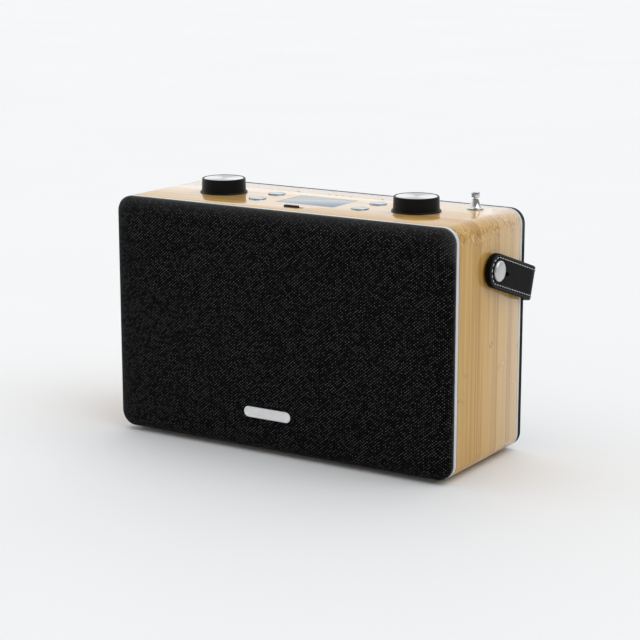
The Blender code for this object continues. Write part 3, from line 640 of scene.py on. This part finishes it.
refinish(black_plastic, "grille_frame", "front_baffle", "display_module")
refinish(board_green, "control_board", "main_board")
for side in ("left", "right"):
    refinish(steel, f"speaker_basket_{side}", f"encoder_body_{side}", f"encoder_shaft_{side}")
    refinish(paper, f"speaker_cone_{side}")
    refinish(ferrite, f"speaker_magnet_{side}")
    refinish(black_plastic, f"encoder_stem_{side}")

# ---------------------------------------------------------------- display
# A flat window of tinted glass let in flush with the bamboo, over an unlit blue-grey screen.
# A darker printed border runs round its edge.
glass_low, glass_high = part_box("display_window")
glass_middle = (glass_low + glass_high) / 2
glass_half = (glass_high - glass_low) / 2
BORDER = 0.0007
glass_blue, place = finish(
    "display_glass", Roughness=0.22, Specular_IOR_Level=0.42, Coat_Weight=0.10, Coat_Roughness=0.04
)
x, y, _ = place.axes()
from_side = (x - glass_middle.x).size() - (glass_half.x - BORDER)
from_front = (y - glass_middle.y).size() - (glass_half.y - BORDER)
border = from_side.math("MAXIMUM", from_front).rise(-0.0003, 0.0002)
sheen = place.noise(28.0, 2.0)
screen = sheen.tint((0.190, 0.240, 0.275), (0.205, 0.255, 0.290))
border.tint(screen, (0.150, 0.215, 0.290)).feeds("Base Color")
(sheen * 0.03 + 0.20).feeds("Roughness")
window = bmesh.new()
add_block(window, glass_low, glass_high)
soften(window, 0.0003)
join_frame(mesh_piece("display_glass", window, glass_blue), "display_window")

# ---------------------------------------------------------------- printed marks
# Small dots of brown and grey ink beside the controls, in place of printed legends. They lie on
# the lacquer as a thin film.
INK = 0.00003
ink_brown = moulded("ink_brown", (0.42, 0.235, 0.095), (0.50, 0.29, 0.13), 0.55)
ink_grey = moulded("ink_grey", (0.055, 0.055, 0.060), (0.095, 0.095, 0.100), 0.55)


def ink_dots(name, material, dots):
    """Flat dots on the case's top; each is (x, y from the wood's front, length, width)."""
    bm = bmesh.new()
    for x, y, length, width in dots:
        spot = Vector((x, wood_low.y + y, wood_high.z + INK))
        scale = Matrix.Diagonal((length / 2, width / 2, 1, 1))
        bmesh.ops.create_circle(
            bm, cap_ends=True, segments=12, radius=1, matrix=Matrix.Translation(spot) @ scale
        )
    piece = mesh_piece(name, bm, material)
    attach(piece, "cabinet")
    return piece


BACK_ROW = 0.0773
brown_dots = [(x, BACK_ROW, 0.0024, 0.0026) for x in (-0.0374, 0.0362)]
brown_dots += [(x, BACK_ROW, 0.0018, 0.0020) for x in (-0.0098, -0.0037, 0.0021, 0.0088)]
ink_dots("ink_dots_back", ink_brown, brown_dots)
grey_dots = [(x, 0.0195, 0.0014, 0.0022) for x in (0.0790, 0.0822, 0.0854)]
grey_dots += [(-0.0850, 0.0207, 0.0014, 0.0022)]
ink_dots("ink_dots_front", ink_grey, grey_dots)
soft_grey = moulded("ink_soft_grey", (0.42, 0.40, 0.37), (0.50, 0.47, 0.43), 0.55)
ink_dots("ink_dots_slider", soft_grey, [(x, 0.0133, 0.0018, 0.0020) for x in (0.0112, 0.0142)])

# ---------------------------------------------------------------- power slider
# A small black thumb slider in its slot, just in front of the display. It is moulded in one
# piece and moves the slide switch on the control board.
refinish(black_plastic, "power_slider")

# ---------------------------------------------------------------- push buttons
# Four turned metal discs with a fine rounded rim, faintly dished, standing just proud of the
# wood in close round holes.


def about(spots, reach, pattern):
    """A pattern of distance and angle, laid round each of these axes as far as reach."""

    def laid(place):
        x, y, _ = place.axes()
        total = 0.0
        for spot in spots:
            over_x, over_y = x - spot.x, y - spot.y
            square = over_x * over_x + over_y * over_y
            away = square.math("SQRT")
            turn = over_y.math("ARCTAN2", over_x)
            total = away.rise(reach, reach + 0.001, 1.0, 0.0) * pattern(away, turn) + total
        return total

    return laid


def rings(away, turn):
    return away.spot(away * 3600.0, 0.0, 0.0).noise(1.0, 2.0)


def painted_sector_light(start, sharpness):
    """Painted highlights and shade: two bright sectors and two grey ones of reflected light, as
    turning marks throw it back.
    """

    def sector_light(away, turn):
        wave = turn * 2.0 + start
        streaks = away.spot(turn * 7.0, away * 60.0, 0.0).noise(1.0, 3.0)
        swing = wave.math("COSINE") * 0.5 + 0.5
        return (swing * 0.75 + streaks * 0.5 - 0.12).rise(0.5 - sharpness, 0.5 + sharpness)

    return sector_light


def turned(profile, at, axis="Z", segments=64, closed=False):
    """Spins (radius, height) points round an axis through at."""
    bm = bmesh.new()
    verts = [bm.verts.new((radius, 0, height)) for radius, height in profile]
    pairs = list(zip(verts, verts[1:]))
    if closed:
        pairs.append((verts[-1], verts[0]))
    edges = [bm.edges.new(pair) for pair in pairs]
    bmesh.ops.spin(
        bm,
        geom=verts + edges,
        cent=(0, 0, 0),
        axis=(0, 0, 1),
        dvec=(0, 0, 0),
        angle=math.tau,
        steps=segments,
        use_merge=True,
        use_duplicate=False,
    )
    bmesh.ops.remove_doubles(bm, verts=bm.verts[:], dist=1e-7)
    quarter = {"Z": 0, "X": 90, "-X": -90}[axis]
    bmesh.ops.rotate(
        bm, verts=bm.verts[:], cent=(0, 0, 0), matrix=Matrix.Rotation(math.radians(quarter), 3, "Y")
    )
    bmesh.ops.translate(bm, verts=bm.verts[:], vec=at)
    bmesh.ops.recalc_face_normals(bm, faces=bm.faces[:])
    return bm


BUTTON_TOP = 0.0009
BUTTON_SINK = 0.0104
BUTTON_FLANGE = 0.0076
FLANGE_WALL = 0.0010
button_names = [f"button_{row}_{side}" for row in ("front", "rear") for side in ("left", "right")]
button_spots = [axis_spot(node) for node in button_names]
# The discs' colour carries painted highlights: bright and grey sectors of reflected light.
button_silver = metal(
    "button_silver",
    (0.54, 0.60, 0.655),
    0.36,
    about(button_spots, BUTTON_FLANGE, rings),
    shade=0.72,
    sector_light=about(button_spots, BUTTON_FLANGE, painted_sector_light(0.9, 0.5)),
)
button_profile = [
    (0, -BUTTON_SINK),
    (BUTTON_FLANGE, -BUTTON_SINK),
    (BUTTON_FLANGE, FLANGE_WALL - BUTTON_SINK),
    (BUTTON_RADIUS, FLANGE_WALL - BUTTON_SINK),
    (BUTTON_RADIUS, BUTTON_TOP - 0.0004),
    (BUTTON_RADIUS - 0.0001, BUTTON_TOP - 0.0002),
    (BUTTON_RADIUS - 0.0003, BUTTON_TOP - 0.0001),
    (BUTTON_RADIUS - 0.0006, BUTTON_TOP - 0.00005),
    (0.0045, BUTTON_TOP - 0.00008),
    (0.0020, BUTTON_TOP - 0.00010),
    (0, BUTTON_TOP - 0.00010),
]
for node in button_names:
    bm = turned(button_profile, axis_spot(node), segments=48)
    join_frame(mesh_piece(node + "_disc", bm, button_silver), node)

# ---------------------------------------------------------------- knobs
# Two push-and-turn knobs. Each has a satin black skirt that narrows a little upwards, a bright
# spun-aluminium disc let into its top, and a thin flared black collar on the wood under it.
KNOB_RADIUS = 0.0166
KNOB_HEIGHT = 0.0110
LIP = 0.0153
KNOB_FOOT = 0.0012
SKIRT_BORE = 0.0146
HUB_RADIUS = 0.0052
SHAFT_BORE = 0.0033
COLLAR_BORE = 0.0170
knob_black, place = finish("knob_black", Specular_IOR_Level=0.12)
satin = place.noise(800.0, 3.0)
hand = place.noise(60.0, 3.0)
satin.tint((0.004, 0.004, 0.004), (0.009, 0.009, 0.009)).feeds("Base Color")
(hand * 0.10 + satin * 0.06 + 0.30).feeds("Roughness")
satin.relief(0.00001)
knob_spots = [axis_spot(f"knob_{side}") for side in ("left", "right")]
# The spun discs' colour carries painted highlights: bright and grey sectors of reflected light.
spun_aluminium = metal(
    "spun_aluminium",
    (0.70, 0.70, 0.70),
    0.32,
    about(knob_spots, KNOB_RADIUS, rings),
    shade=0.52,
    sector_light=about(knob_spots, KNOB_RADIUS, painted_sector_light(-0.6, 0.42)),
)
knob_profile = [
    (SKIRT_BORE, KNOB_FOOT),
    (KNOB_RADIUS, KNOB_FOOT),
    (KNOB_RADIUS, KNOB_FOOT + 0.0004),
    (KNOB_RADIUS - 0.0003, KNOB_HEIGHT - 0.0009),
    (KNOB_RADIUS - 0.0004, KNOB_HEIGHT - 0.0004),
    (KNOB_RADIUS - 0.0007, KNOB_HEIGHT - 0.0001),
    (KNOB_RADIUS - 0.0010, KNOB_HEIGHT),
    (LIP + 0.0001, KNOB_HEIGHT),
    (LIP, KNOB_HEIGHT - 0.0001),
    (LIP, KNOB_HEIGHT - 0.0016),
    (SHAFT_BORE, KNOB_HEIGHT - 0.0016),
    (SHAFT_BORE, KNOB_FOOT),
    (HUB_RADIUS, KNOB_FOOT),
    (HUB_RADIUS, KNOB_HEIGHT - 0.0028),
    (SKIRT_BORE, KNOB_HEIGHT - 0.0028),
]
cap_profile = [
    (0, KNOB_HEIGHT - 0.0013),
    (LIP - 0.0003, KNOB_HEIGHT - 0.0013),
    (LIP - 0.0003, KNOB_HEIGHT - 0.0006),
    (LIP - 0.0004, KNOB_HEIGHT - 0.0004),
    (LIP - 0.0007, KNOB_HEIGHT - 0.0002),
    (LIP - 0.0012, KNOB_HEIGHT - 0.00015),
    (0.0090, KNOB_HEIGHT - 0.00030),
    (0.0030, KNOB_HEIGHT - 0.00042),
    (0, KNOB_HEIGHT - 0.00045),
]
collar_profile = [
    (COLLAR_BORE, 0.0003),
    (0.0178, 0.0003),
    (0.01778, 0.0007),
    (0.0176, 0.0010),
    (0.0173, 0.00125),
    (COLLAR_BORE, 0.0013),
]
for side in ("left", "right"):
    spot = axis_spot(f"knob_{side}")
    skirt = turned(knob_profile, spot, closed=True)
    join_frame(mesh_piece(f"knob_skirt_{side}", skirt, knob_black), f"knob_{side}")
    disc = turned(cap_profile, spot)
    join_frame(mesh_piece(f"knob_disc_{side}", disc, spun_aluminium), f"knob_cap_{side}")
    collar = turned(collar_profile, spot, closed=True)
    join_frame(mesh_piece(f"knob_ring_{side}", collar, knob_black), f"knob_collar_{side}")

# ---------------------------------------------------------------- telescopic aerial
# A chromed trumpet bush on a thin flange, three sliding chromed tubes inside a steel outer
# tube, and a ribbed cap on the thinnest one. All of it is pushed in at rest.


def polished(place):
    x, y, z = place.axes()
    return place.spot(x * 400.0, y * 400.0, z * 2400.0).noise(1.0, 3.0)


chrome = metal("chrome", (0.66, 0.655, 0.65), 0.10, polished, 0.03)
refinish(chrome, "aerial_section_1", "aerial_section_2")
refinish(steel, "aerial_tube")
BUSH_BORE = 0.00205
BUSH_STEM = 0.0033
BUSH_TOP = 0.0070
BUSH_DEPTH = 0.0105
bush_profile = [
    (BUSH_BORE, BUSH_TOP),
    (BUSH_BORE, -BUSH_DEPTH),
    (BUSH_STEM, -BUSH_DEPTH),
    (BUSH_STEM, 0.0003),
    (0.0060, 0.0003),
    (0.0061, 0.00045),
    (0.0060, 0.0007),
    (0.0052, 0.0010),
    (0.0045, 0.0016),
    (0.0039, 0.0026),
    (0.00345, 0.0036),
    (0.0031, 0.0046),
    (0.0028, 0.0056),
    (0.0025, 0.0064),
    (0.0024, BUSH_TOP),
]
bush = turned(bush_profile, aerial_spot, segments=48, closed=True)
join_frame(mesh_piece("aerial_trumpet", bush, chrome), "aerial_bush")
tip_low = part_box("aerial_section_3")[0].z - wood_high.z
ROD_RADIUS = 0.0011
TIP_RADIUS = 0.00305
tip_profile = [
    (0, tip_low),
    (ROD_RADIUS, tip_low),
    (ROD_RADIUS, 0.0084),
    (TIP_RADIUS - 0.0003, 0.0084),
    (TIP_RADIUS, 0.0087),
    (TIP_RADIUS, 0.0094),
    (TIP_RADIUS - 0.0002, 0.0096),
    (TIP_RADIUS - 0.0002, 0.0099),
    (TIP_RADIUS, 0.0101),
    (TIP_RADIUS, 0.0118),
    (TIP_RADIUS - 0.00015, 0.0121),
    (TIP_RADIUS - 0.0005, 0.0122),
    (0, 0.0122),
]
tip = turned(tip_profile, aerial_spot, segments=40)
join_frame(mesh_piece("aerial_tip", tip, chrome), "aerial_section_3")

# ---------------------------------------------------------------- rear cover
# A cloth-covered panel that closes the back. The battery door and the connector panel sit in
# it, and four cross-head screws hold it.
COVER_ROLL = 0.0012
RECESS_REACH = 0.06
cover_low, cover_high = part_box("rear_cover")
rear_weave = woven("black_weave_rear", (0.090, 0.090, 0.090), cover_high.y, COVER_ROLL)
cover_mesh = rolled_cloth(cover_low.y, cover_high.y, COVER_ROLL, COVER_ROLL)
back_edge = [e for e in cover_mesh.edges if e.is_boundary]
bmesh.ops.contextual_create(cover_mesh, geom=back_edge)
cover = mesh_piece("woven_back", cover_mesh, rear_weave)
recesses = bmesh.new()
for node in ("battery_door", "connector_panel"):
    low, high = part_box(node)
    add_block(
        recesses,
        (low.x - CLEAR, low.y - CLEAR, low.z - CLEAR),
        (high.x + CLEAR, cover_high.y + DRILL, high.z + CLEAR),
    )
carve(cover, recesses)
flat_places = cover.data.attributes["cut"].data
for vert, place in zip(cover.data.vertices, flat_places):
    if vert.co.y > cover_high.y - COVER_ROLL * 0.01 or abs(vert.co.x) < RECESS_REACH:
        place.vector = (vert.co.x - case_middle.x, 0, vert.co.z - case_middle.z)
weigh(cover)
join_frame(cover, "rear_cover")
refinish(black_plastic, "battery_bay", "battery_door", "connector_panel")
refinish(black_plastic, "dc_inlet", "headphone_socket")
refinish(cell_wrap, "battery_pack")
refinish(steel, "usb_socket")
for side in ("left", "right"):
    refinish(steel, f"rear_screw_lower_{side}", f"rear_screw_upper_{side}")

# ---------------------------------------------------------------- carrying strap
# Two leaves of black leather, padded and sewn together round the rim with pale thread. It runs
# from one side, behind the case, to the other, and turns on a stud through each end.
stud_low, stud_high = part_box("strap_stud_right")
_, strap_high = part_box("strap")
pivot = Vector((0, (stud_low.y + stud_high.y) / 2, (stud_low.z + stud_high.z) / 2))
STRAP_ANGLE = math.radians(-18.0)
STRAP_WIDTH = 0.0245
STRAP_THICKNESS = 0.0045
STRAP_REACH = 0.07074
STRAP_BEND = 0.0170
back_run = strap_high.x - STRAP_BEND
bend_radius = STRAP_BEND - STRAP_THICKNESS / 2
bend_run = bend_radius * math.pi / 2
side_run = STRAP_REACH - STRAP_BEND + STRAP_WIDTH / 2
half_length = back_run + bend_run + side_run
# How far in from the rim the painted highlight line lies.
HIGHLIGHT_INSET = 0.0011
STITCH_INSET = 0.0028
STITCH_STEP = 0.0040
STITCH_LENGTH = 0.0030
THREAD_RADIUS = 0.00036
STRAP_ROUND = 0.0010
BEND_CUT = 0.0015
LONG_CUT = 0.0120


def strap_place(s, w, t):
    """Where a point of the flat strap lies: s along it, w across it, t out from its middle."""
    side = math.copysign(1.0, s)
    run = abs(s)
    if run < back_run:
        x, along = run, STRAP_REACH - STRAP_THICKNESS / 2 + t
    elif run < back_run + bend_run:
        angle = (run - back_run) / bend_radius
        x = back_run + (bend_radius + t) * math.sin(angle)
        along = STRAP_REACH - STRAP_BEND + (bend_radius + t) * math.cos(angle)
    else:
        x = back_run + bend_radius + t
        along = STRAP_REACH - STRAP_BEND - (run - back_run - bend_run)
    point = Matrix.Rotation(STRAP_ANGLE, 3, "X") @ Vector((side * x, along, w))
    return pivot + point


leather, place = finish("leather", Specular_IOR_Level=0.02)
flat = place.node("Attribute", {}, 1, attribute_name="flat")
along_s, across_w, _ = flat.axes()
past_end = (along_s.size() - (half_length - STRAP_WIDTH / 2)).math("MAXIMUM", 0.0)
from_spine = past_end * past_end + across_w * across_w
rim = STRAP_WIDTH / 2 - from_spine.math("SQRT")
pebble = flat.node(
    "TexVoronoi", {"Vector": flat, "Scale": 1150.0, "Randomness": 0.9}, feature="SMOOTH_F1"
)
crease = flat.noise(260.0, 4.0)
groove = (rim - STITCH_INSET).size().rise(0.0002, 0.0009, 1.0, 0.0)
# Painted highlight: a thin pale line just inside the rim of each face, where the rounded edge
# catches the light.
highlight_line = (rim - HIGHLIGHT_INSET).size().rise(0.0001, 0.0004, 1.0, 0.0)
painted = rim.rise(0.0, 0.0006, 1.0, 0.0)
uneven = (pebble * 0.5 + crease * 0.6).rise(0.2, 0.8)
hide = uneven.tint((0.0035, 0.0035, 0.0035), (0.011, 0.011, 0.011))
# The painted highlight line is mixed into the hide's colour.
painted_edge_highlight = (highlight_line * 0.40).tint(hide, (0.110, 0.110, 0.112))
(painted * 0.7).tint(painted_edge_highlight, (0.004, 0.004, 0.004)).feeds("Base Color")
(crease * 0.16 + 0.34 - highlight_line * 0.08 + painted * 0.05).feeds("Roughness")
(pebble * 0.35 + crease * 0.45 - groove * 2.4).relief(0.00010)

strip_mesh = bmesh.new()
add_block(
    strip_mesh,
    (-half_length, -STRAP_WIDTH / 2, -STRAP_THICKNESS / 2),
    (half_length, STRAP_WIDTH / 2, STRAP_THICKNESS / 2),
)
uprights = [e for e in strip_mesh.edges if abs(e.verts[0].co.z - e.verts[1].co.z) > 1e-6]
bmesh.ops.bevel(
    strip_mesh,
    geom=uprights,
    offset=STRAP_WIDTH / 2 - 0.0001,
    segments=12,
    profile=0.5,
    affect="EDGES",
    material=-1,
)
soften(strip_mesh, STRAP_ROUND, 4, 60)
bend_from, bend_to = back_run - 0.0040, back_run + bend_run + 0.0020
cuts = [0.0]
while cuts[-1] < half_length - STRAP_WIDTH:
    in_bend = bend_from < cuts[-1] < bend_to
    cuts.append(cuts[-1] + (BEND_CUT if in_bend else LONG_CUT))
    if cuts[-2] < bend_from < cuts[-1]:
        cuts[-1] = bend_from + 0.0001
for run in sorted(set(cuts + [-cut for cut in cuts])):
    bmesh.ops.bisect_plane(
        strip_mesh,
        geom=strip_mesh.verts[:] + strip_mesh.edges[:] + strip_mesh.faces[:],
        plane_co=(run, 0, 0),
        plane_no=(1, 0, 0),
    )
strap = mesh_piece("leather_strap", strip_mesh, leather)
SLIT_REACH = 0.0175
SLIT_WIDTH = 0.0026
SLIT_CORNER = 0.0012
stud_run = half_length - STRAP_WIDTH / 2
slits = bmesh.new()
for way in (-1, 1):
    near, far = sorted((way * stud_run, way * (stud_run - SLIT_REACH)))
    add_block(slits, (near, -SLIT_WIDTH / 2, -DRILL), (far, SLIT_WIDTH / 2, DRILL))
corners = [e for e in slits.edges if abs(e.verts[0].co.z - e.verts[1].co.z) > 1e-6]
bmesh.ops.bevel(
    slits, geom=corners, offset=SLIT_CORNER, segments=4, profile=0.5, affect="EDGES", material=-1
)
carve(strap, slits)
bent = bmesh.new()
bent.from_mesh(strap.data)
flat_place = bent.verts.layers.float_vector.new("flat")
for vert in bent.verts:
    s, w, t = vert.co
    vert[flat_place] = (s, w, t)
    vert.co = strap_place(s, w, t)
bent.to_mesh(strap.data)
bent.free()
weigh(strap)
join_frame(strap, "strap")

thread, place = finish("thread", Roughness=0.75, Sheen_Weight=0.2, Specular_IOR_Level=0.3)
twist = place.noise(3200.0, 2.0)
twist.tint((0.360, 0.358, 0.350), (0.620, 0.615, 0.600)).feeds("Base Color")
twist.relief(0.00006)
stitches = bmesh.new()
line_w = STRAP_WIDTH / 2 - STITCH_INSET
straight_run = 2 * stud_run
arc_run = math.pi * line_w
whole_run = 2 * (straight_run + arc_run)
count = round(whole_run / STITCH_STEP)
for number in range(count):
    run = (number + 0.5) * whole_run / count
    half_way = run > whole_run / 2
    run -= whole_run / 2 if half_way else 0
    if run < straight_run:
        s, w, heading = run - stud_run, -line_w, 0.0
    else:
        heading = (run - straight_run) / line_w
        s, w = stud_run + line_w * math.sin(heading), -line_w * math.cos(heading)
    if half_way:
        s, w, heading = -s, -w, heading + math.pi
    for face in (-1, 1):
        tilt = Matrix.Rotation(heading + math.radians(4 * face), 4, "Z")
        centre = Matrix.Translation((s, w, face * (STRAP_THICKNESS / 2 + 0.4 * THREAD_RADIUS)))
        scale = Matrix.Diagonal((STITCH_LENGTH / 2, THREAD_RADIUS, THREAD_RADIUS, 1))
        bmesh.ops.create_uvsphere(
            stitches, u_segments=8, v_segments=5, radius=1, matrix=centre @ tilt @ scale
        )
for vert in stitches.verts:
    vert.co = strap_place(*vert.co)
sewing = mesh_piece("strap_stitching", stitches, thread)
join_frame(sewing, "strap", stands_for=False)

# ---------------------------------------------------------------- strap studs and washers
# A flat brushed-metal stud screws into each side of the case through the strap's end. Its
# broad head holds the strap, and a black washer keeps the leather off the wood.


def brushed_up(place):
    x, y, z = place.axes()
    return place.spot(x * 2600.0, y * 2600.0, z * 70.0).noise(1.0, 3.0)


stud_metal = metal("stud_metal", (0.62, 0.62, 0.625), 0.38, brushed_up)
STUD_RADIUS = (stud_high.z - stud_low.z) / 2
HEAD_THICKNESS = 0.0022
PIN_RADIUS = 0.0020
PIN_DEPTH = 0.0065
NECK_RADIUS = 0.0029
side_face = wood_high.x
head_high = stud_high.x - side_face
head_low = head_high - HEAD_THICKNESS
stud_profile = [
    (0, -PIN_DEPTH),
    (PIN_RADIUS, -PIN_DEPTH),
    (PIN_RADIUS, 0.0003),
    (NECK_RADIUS, 0.0003),
    (NECK_RADIUS, head_low),
    (STUD_RADIUS - 0.0002, head_low),
    (STUD_RADIUS, head_low + 0.0002),
    (STUD_RADIUS, head_high - 0.0009),
    (STUD_RADIUS - 0.00015, head_high - 0.0006),
    (STUD_RADIUS - 0.0007, head_high - 0.0001),
    (STUD_RADIUS - 0.0009, head_high),
    (0, head_high),
]
for side, way in (("left", -1), ("right", 1)):
    at = Vector((way * side_face, pivot.y, pivot.z))
    bm = turned(stud_profile, at, "X" if way > 0 else "-X")
    join_frame(mesh_piece(f"stud_{side}", bm, stud_metal), f"strap_stud_{side}")
    refinish(black_plastic, f"strap_washer_{side}")

# ---------------------------------------------------------------- feet
# Four round rubber feet under the base, two near the front and two near the rear, glued to the
# bamboo.
for row in ("front", "rear"):
    refinish(rubber, f"foot_{row}_left", f"foot_{row}_right")

# ---------------------------------------------------------------- studio
# A plain pale floor, soft light from all round, and a long lens above and to the right.
pale_floor, place = finish("pale_floor", Roughness=0.75, Specular_IOR_Level=0.2)
place.noise(3.0, 2.0).tint((0.80, 0.80, 0.80), (0.83, 0.83, 0.83)).feeds("Base Color")
floor_mesh = bmesh.new()
bmesh.ops.create_grid(floor_mesh, x_segments=1, y_segments=1, size=30)
mesh_piece("floor", floor_mesh, pale_floor)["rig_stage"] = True

world = bpy.data.worlds.new("studio")
world.use_nodes = True
sky = Wire(world.node_tree, world.node_tree.nodes.new("ShaderNodeTexCoord").outputs["Generated"])
across, depth, up = sky.axes()
glow = (depth * 0.6 - across * 0.8 + up * 0.5).rise(-0.3, 0.95, 0.30, 1.25)
background = world.node_tree.nodes["Background"]
background.inputs["Color"].default_value = (0.97, 0.985, 1.0, 1)
world.node_tree.links.new(glow.socket, background.inputs["Strength"])
bpy.context.scene.world = world

overhead = bpy.data.lights.new("overhead", "SUN")
overhead.energy = 1.3
overhead.angle = math.radians(55)
lamp = bpy.data.objects.new("overhead", overhead)
lamp.rotation_euler = Vector((-0.75, 0.0, -1.0)).to_track_quat("-Z", "Y").to_euler()
bpy.context.scene.collection.objects.link(lamp)

camera_data = bpy.data.cameras.new("camera")
camera_data.lens = 106.893
camera_data.sensor_width = 36.0
camera_data.clip_end = 100.0
camera = bpy.data.objects.new("camera", camera_data)
camera.location = (case_middle.x + 0.73739, wood_low.y - 1.10866, wood_low.z + 0.39428)
camera.rotation_euler = [math.radians(angle) for angle in (77.386, 0.049, 32.491)]
bpy.context.scene.collection.objects.link(camera)
bpy.context.scene.camera = camera
bpy.context.scene.view_settings.view_transform = "Standard"

low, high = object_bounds()
